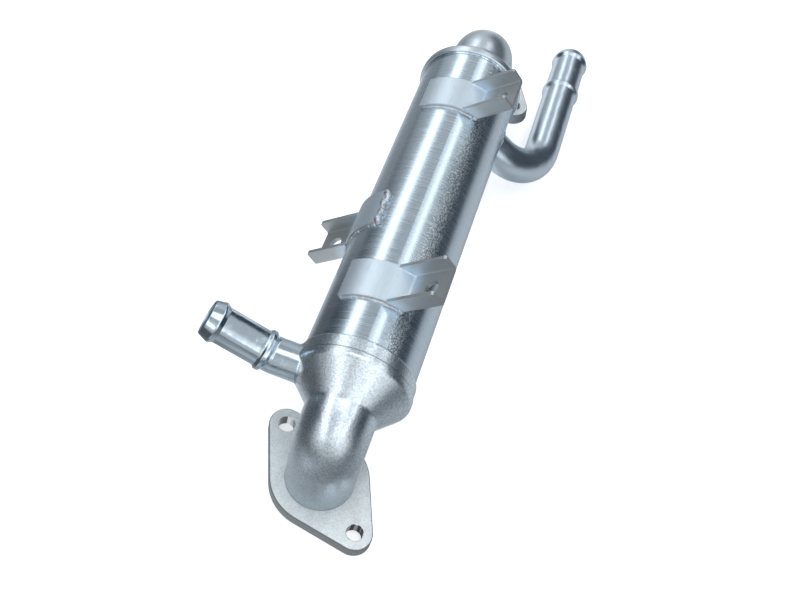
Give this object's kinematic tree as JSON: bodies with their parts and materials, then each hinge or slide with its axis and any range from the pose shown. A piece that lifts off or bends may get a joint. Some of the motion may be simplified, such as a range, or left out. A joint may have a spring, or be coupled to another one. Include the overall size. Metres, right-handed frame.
{
  "type": "egr cooler",
  "caption": "Stainless steel exhaust gas recirculation cooler: a round shell with elbowed gas ends on diamond flanges, hose pipes for coolant and welded brackets.",
  "frame": {"origin": "centre of the inlet flange's mating face", "axes": "+X along the shell from the gas inlet to the gas outlet, +Y towards the straight hose stub, +Z away from the inlet flange's mating face"},
  "size_m": [0.3958, 0.1512, 0.1098],
  "materials": {
    "shell_steel": "brushed",
    "cast_steel": "blasted",
    "flange_steel": "blasted",
    "pipe_steel": "polished",
    "bracket_steel": "satin",
    "core_steel": "satin"
  },
  "bodies": {
    "root": {"housing_tube": "shell_steel", "inlet_gas_box": "cast_steel", "outlet_gas_box": "cast_steel", "inlet_flange": "flange_steel", "outlet_flange": "flange_steel", "inlet_header": "core_steel", "outlet_header": "core_steel", "baffle_front": "core_steel", "baffle_rear": "core_steel", "coolant_inlet_stub": "pipe_steel", "coolant_outlet_pipe": "pipe_steel", "bracket_front": "bracket_steel", "bracket_rear": "bracket_steel", "bracket_side": "bracket_steel", "gas_tube_01": "core_steel", "gas_tube_02": "core_steel", "gas_tube_03": "core_steel", "gas_tube_04": "core_steel", "gas_tube_05": "core_steel", "gas_tube_06": "core_steel", "gas_tube_07": "core_steel", "gas_tube_08": "core_steel", "gas_tube_09": "core_steel", "gas_tube_10": "core_steel", "gas_tube_11": "core_steel", "gas_tube_12": "core_steel", "gas_tube_13": "core_steel", "gas_tube_14": "core_steel", "gas_tube_15": "core_steel", "gas_tube_16": "core_steel", "gas_tube_17": "core_steel", "gas_tube_18": "core_steel", "gas_tube_19": "core_steel"}
  },
  "joints": []
}
